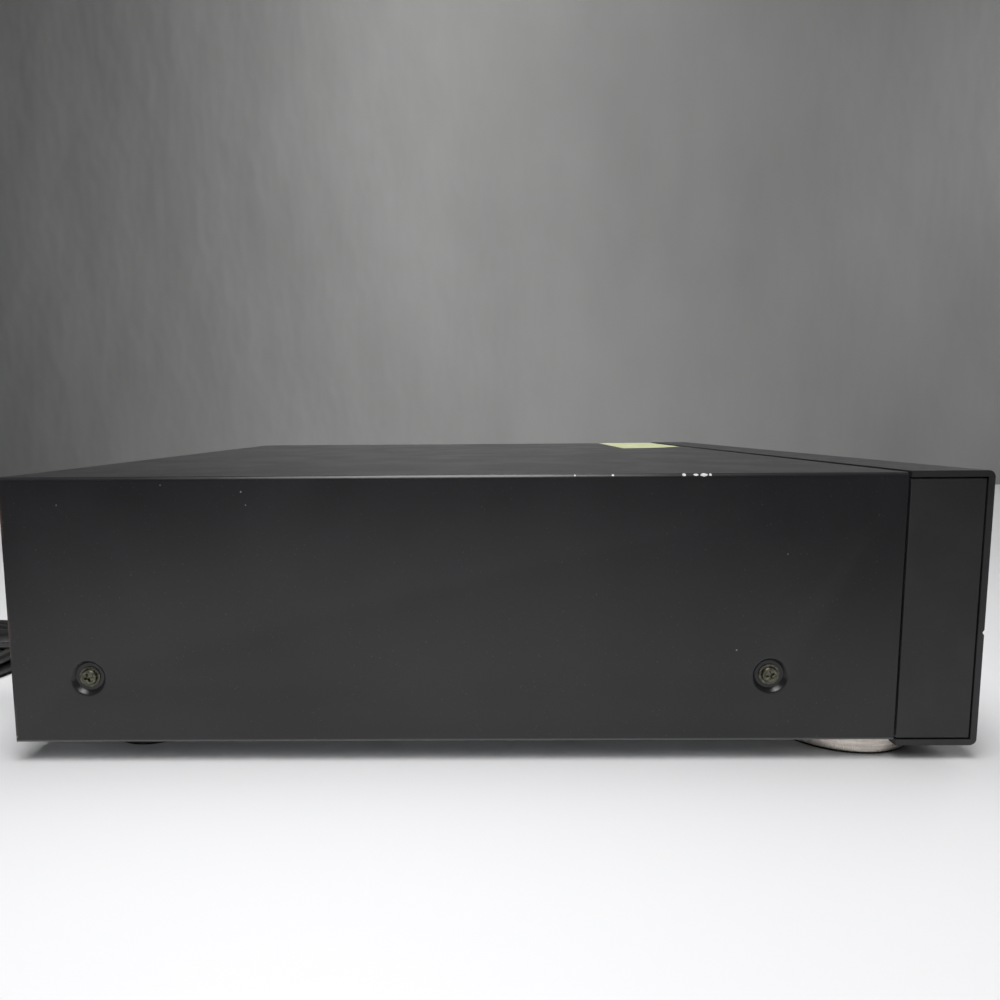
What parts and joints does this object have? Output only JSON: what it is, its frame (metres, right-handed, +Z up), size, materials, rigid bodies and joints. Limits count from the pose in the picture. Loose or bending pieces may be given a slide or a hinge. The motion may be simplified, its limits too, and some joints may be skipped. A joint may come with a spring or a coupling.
{
  "type": "multi disc cd changer",
  "caption": "Black hi-fi component case with a front drawer that carries a turning disc carousel, lifting laser pickup, display, keys, feet and a coiled mains cord.",
  "frame": {"origin": "on the table under the middle of the case, leaving out the mains cord", "axes": "+Z up, the front panel faces -Y, +X is to the right for a person who faces the front"},
  "size_m": [0.435, 0.643, 0.131],
  "materials": {
    "cover_paint": "satin black, fine texture",
    "rear_paint": "satin black",
    "zinc_sheet": "zinc plated sheet",
    "panel_plastic": "moulded, matte",
    "button_plastic": "moulded, satin",
    "champagne_metal": "brushed, champagne",
    "foot_rubber": "dull",
    "rear_foot_plastic": "dull",
    "screw_zinc": "olive zinc plating",
    "screw_black": "black oxide",
    "smoked_window": "smoked, gloss",
    "display_glass": "dark glass tube",
    "circuit_board": "green laminate",
    "transformer_steel": "laminated core",
    "capacitor_sleeve": "shrink sleeve",
    "socket_plastic": "moulded",
    "plug_plating": "gold plated",
    "cord_rubber": "satin",
    "tie_plastic": "satin",
    "tray_plastic": "moulded, fine texture",
    "frame_plastic": "moulded",
    "motor_steel": "plated can",
    "gear_plastic": "natural acetal",
    "belt_rubber": "ground rubber",
    "rod_steel": "ground",
    "pickup_metal": "die cast"
  },
  "bodies": {
    "case": {"chassis_pan": "zinc_sheet", "clamp_bridge": "zinc_sheet", "cord_bushing": "cord_rubber", "cord_tie": "tie_plastic", "cover_screws": "screw_zinc", "display_module": "display_glass", "display_window": "smoked_window", "end_caps": "panel_plastic", "filter_capacitors": "capacitor_sleeve", "front_board": "circuit_board", "front_bracket": "zinc_sheet", "front_foot_pads": "foot_rubber", "front_foot_shells": "champagne_metal", "front_panel": "panel_plastic", "jack_block": "socket_plastic", "line_out_shells": "plug_plating", "loader_bracket": "frame_plastic", "loading_belt": "belt_rubber", "loading_motor": "motor_steel", "main_board": "circuit_board", "mains_cord": "cord_rubber", "mains_cord_coil": "cord_rubber", "mains_plug": "cord_rubber", "phones_jack": "socket_plastic", "pickup_frame": "frame_plastic", "power_transformer": "transformer_steel", "rear_feet": "rear_foot_plastic", "rear_panel": "rear_paint", "rear_screws": "screw_black", "top_cover": "cover_paint", "tray_rails": "frame_plastic"},
    "drawer": {"disc_tray": "tray_plastic", "tray_door": "panel_plastic", "carousel_motor": "motor_steel", "carousel_cap": "tray_plastic"},
    "carousel": {"carousel": "tray_plastic"},
    "drive_gear": {"carousel_drive_gear": "gear_plastic"},
    "loading_gear": {"loading_gear": "gear_plastic"},
    "motor_pulley": {"motor_pulley": "gear_plastic"},
    "pickup": {"pickup_chassis": "frame_plastic", "guide_rods": "rod_steel", "spindle_motor": "motor_steel"},
    "sled": {"optical_pickup": "pickup_metal"},
    "sled_gear": {"sled_gear": "gear_plastic"},
    "spindle": {"disc_spindle": "frame_plastic"},
    "cam": {"lift_cam": "gear_plastic"},
    "puck": {"clamp_puck": "frame_plastic"},
    "knob": {"level_knob": "button_plastic"},
    "disc_1_button": {"disc_1_button": "button_plastic"},
    "disc_2_button": {"disc_2_button": "button_plastic"},
    "disc_3_button": {"disc_3_button": "button_plastic"},
    "disc_4_button": {"disc_4_button": "button_plastic"},
    "disc_5_button": {"disc_5_button": "button_plastic"},
    "disc_skip_button": {"disc_skip_button": "button_plastic"},
    "open_close_button": {"open_close_button": "button_plastic"},
    "play_pause_button": {"play_pause_button": "button_plastic"},
    "power_button": {"power_button": "button_plastic"},
    "skip_back_button": {"skip_back_button": "button_plastic"},
    "skip_forward_button": {"skip_forward_button": "button_plastic"},
    "stop_button": {"stop_button": "button_plastic"}
  },
  "joints": [
    {"name": "tray_slide", "type": "slide", "parent": "case", "child": "drawer", "axis": [0, -1, 0], "range_m": [0, 0.24]},
    {"name": "carousel_spin", "type": "hinge", "parent": "drawer", "child": "carousel", "pos_m": [0, -0.002, 0.088], "axis": [0, 0, 1], "continuous": true},
    {"name": "drive_gear_spin", "type": "hinge", "parent": "drawer", "child": "drive_gear", "pos_m": [0, -0.077, 0.084], "axis": [0, 0, 1], "continuous": true},
    {"name": "loading_gear_spin", "type": "hinge", "parent": "case", "child": "loading_gear", "pos_m": [0.131, -0.12, 0.077], "axis": [0, 0, -1], "range_deg": [0, 930]},
    {"name": "motor_pulley_spin", "type": "hinge", "parent": "case", "child": "motor_pulley", "pos_m": [0.071, -0.12, 0.071], "axis": [0, 0, -1], "range_deg": [0, 4080]},
    {"name": "pickup_lift", "type": "slide", "parent": "case", "child": "pickup", "axis": [0, 0, 1], "range_m": [0, 0.012]},
    {"name": "cam_slide", "type": "slide", "parent": "case", "child": "cam", "axis": [1, 0, 0], "range_m": [0, 0.024]},
    {"name": "sled_slide", "type": "slide", "parent": "pickup", "child": "sled", "axis": [0, 1, 0], "range_m": [0, 0.035]},
    {"name": "sled_gear_spin", "type": "hinge", "parent": "pickup", "child": "sled_gear", "pos_m": [0.041, 0.148, 0.058], "axis": [0, 0, -1], "range_deg": [0, 170]},
    {"name": "spindle_spin", "type": "hinge", "parent": "pickup", "child": "spindle", "pos_m": [0, 0.104, 0.06], "axis": [0, 0, 1], "continuous": true},
    {"name": "puck_spin", "type": "hinge", "parent": "case", "child": "puck", "pos_m": [0, 0.104, 0.104], "axis": [0, 0, 1], "continuous": true},
    {"name": "knob_turn", "type": "hinge", "parent": "case", "child": "knob", "pos_m": [-0.15, -0.221, 0.026], "axis": [0, -1, 0], "range_deg": [-150, 150]},
    {"name": "disc_1_press", "type": "slide", "parent": "case", "child": "disc_1_button", "axis": [0, 1, 0], "range_m": [0, 0.0007], "stiffness_N_per_m": 400},
    {"name": "disc_2_press", "type": "slide", "parent": "case", "child": "disc_2_button", "axis": [0, 1, 0], "range_m": [0, 0.0007], "stiffness_N_per_m": 400},
    {"name": "disc_3_press", "type": "slide", "parent": "case", "child": "disc_3_button", "axis": [0, 1, 0], "range_m": [0, 0.0007], "stiffness_N_per_m": 400},
    {"name": "disc_4_press", "type": "slide", "parent": "case", "child": "disc_4_button", "axis": [0, 1, 0], "range_m": [0, 0.0007], "stiffness_N_per_m": 400},
    {"name": "disc_5_press", "type": "slide", "parent": "case", "child": "disc_5_button", "axis": [0, 1, 0], "range_m": [0, 0.0007], "stiffness_N_per_m": 400},
    {"name": "disc_skip_press", "type": "slide", "parent": "case", "child": "disc_skip_button", "axis": [0, 1, 0], "range_m": [0, 0.0007], "stiffness_N_per_m": 400},
    {"name": "open_close_press", "type": "slide", "parent": "case", "child": "open_close_button", "axis": [0, 1, 0], "range_m": [0, 0.0007], "stiffness_N_per_m": 400},
    {"name": "play_pause_press", "type": "slide", "parent": "case", "child": "play_pause_button", "axis": [0, 1, 0], "range_m": [0, 0.0007], "stiffness_N_per_m": 400},
    {"name": "power_press", "type": "slide", "parent": "case", "child": "power_button", "axis": [0, 1, 0], "range_m": [0, 0.0007], "stiffness_N_per_m": 400},
    {"name": "skip_back_press", "type": "slide", "parent": "case", "child": "skip_back_button", "axis": [0, 1, 0], "range_m": [0, 0.0007], "stiffness_N_per_m": 400},
    {"name": "skip_forward_press", "type": "slide", "parent": "case", "child": "skip_forward_button", "axis": [0, 1, 0], "range_m": [0, 0.0007], "stiffness_N_per_m": 400},
    {"name": "stop_press", "type": "slide", "parent": "case", "child": "stop_button", "axis": [0, 1, 0], "range_m": [0, 0.0007], "stiffness_N_per_m": 400}
  ],
  "couplings": [
    {"joint": "drive_gear_spin", "follows": "carousel_spin", "ratio": -4},
    {"joint": "loading_gear_spin", "follows": "tray_slide", "rad_per_m": 66.667},
    {"joint": "motor_pulley_spin", "follows": "tray_slide", "rad_per_m": 293.33},
    {"joint": "cam_slide", "follows": "pickup_lift", "ratio": 2},
    {"joint": "sled_gear_spin", "follows": "sled_slide", "rad_per_m": 83.333}
  ]
}
